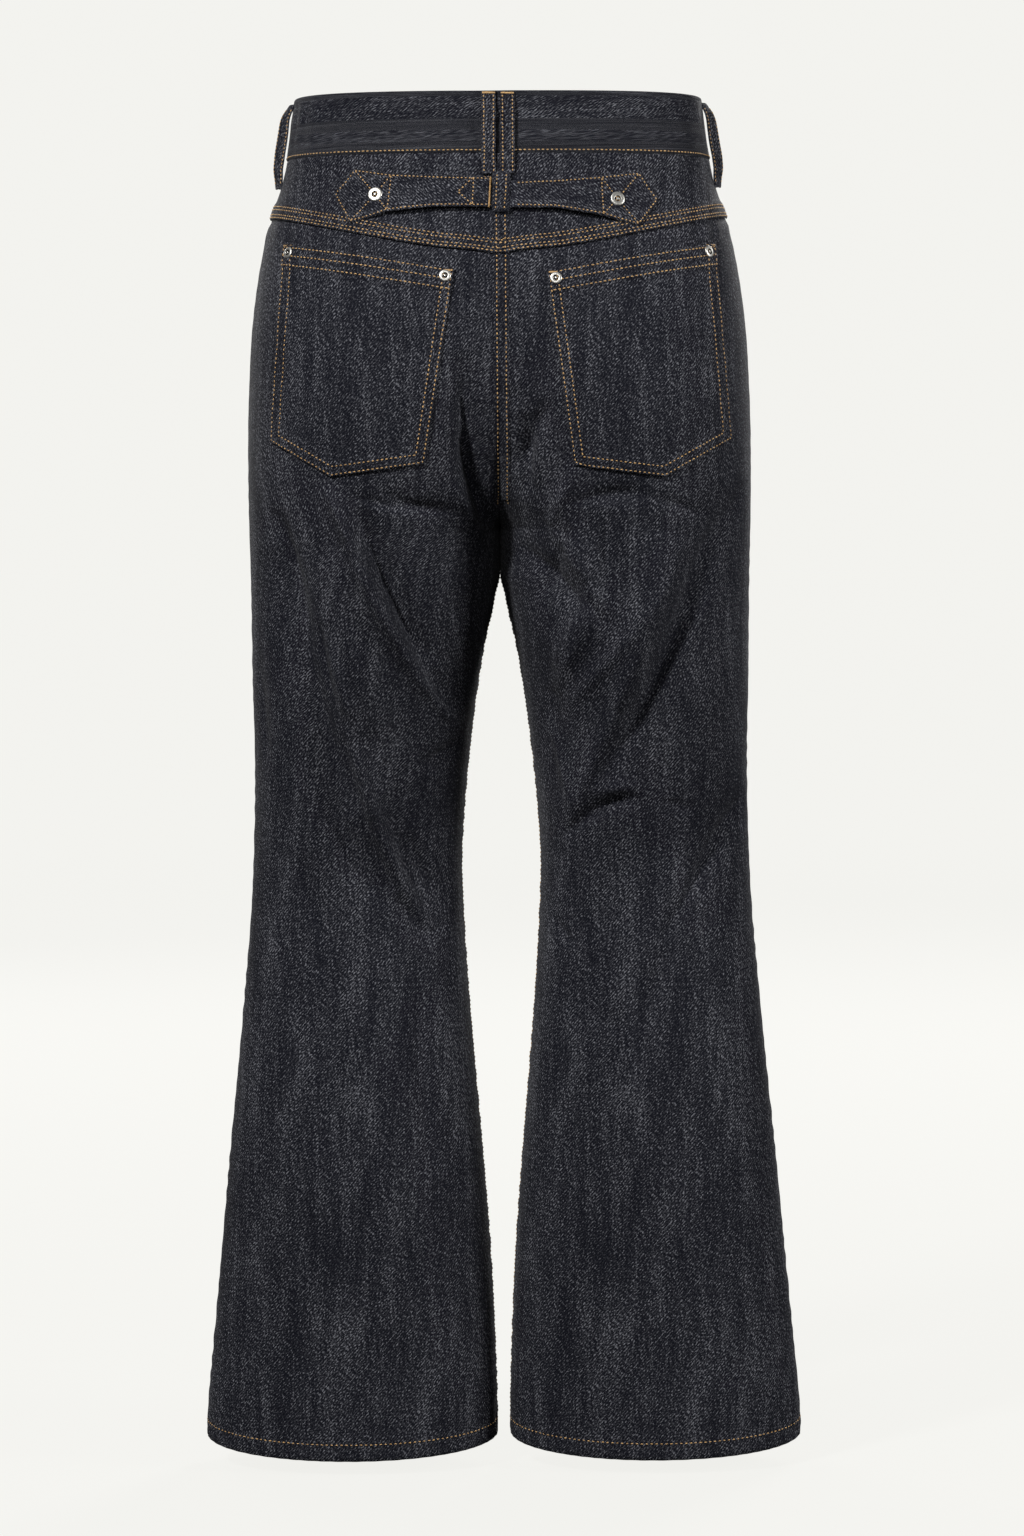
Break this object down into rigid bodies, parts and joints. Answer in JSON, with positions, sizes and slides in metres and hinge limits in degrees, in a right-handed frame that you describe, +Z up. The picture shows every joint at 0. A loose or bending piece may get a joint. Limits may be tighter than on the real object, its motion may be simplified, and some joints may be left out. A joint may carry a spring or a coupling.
{
  "type": "bootcut jeans",
  "caption": "Hollow filled-out bootcut jeans with a cinched back, patch back pockets, belt loops and a lapped fly, to be worn by a figure.",
  "frame": {"origin": "the middle of the waist opening, level with the top edge of the waistband", "axes": "+Z up, the fly faces -Y and the back pockets face +Y, the wearer's left is +X"},
  "size_m": [0.4486, 0.2482, 1.01],
  "materials": {
    "denim": "raw dark indigo twill",
    "nickel": "pale nickel plate"
  },
  "bodies": {
    "root": {"waistband": "denim", "yoke_left": "denim", "yoke_right": "denim", "back_leg_left": "denim", "back_leg_right": "denim", "front_leg_left": "denim", "front_leg_right": "denim", "pocket_facing_left": "denim", "pocket_facing_right": "denim", "back_pocket_left": "denim", "back_pocket_right": "denim", "cinch_strap_left": "denim", "cinch_strap_right": "denim", "cinch_keeper": "denim", "belt_loop_back_left": "denim", "belt_loop_back_right": "denim", "belt_loop_side_left": "denim", "belt_loop_side_right": "denim", "belt_loop_front_left": "denim", "belt_loop_front_right": "denim", "fly_lap": "denim", "waist_button": "nickel", "cinch_rivet_left": "nickel", "cinch_rivet_right": "nickel", "pocket_rivet_left_outer": "nickel", "pocket_rivet_left_inner": "nickel", "pocket_rivet_right_outer": "nickel", "pocket_rivet_right_inner": "nickel"}
  },
  "joints": []
}
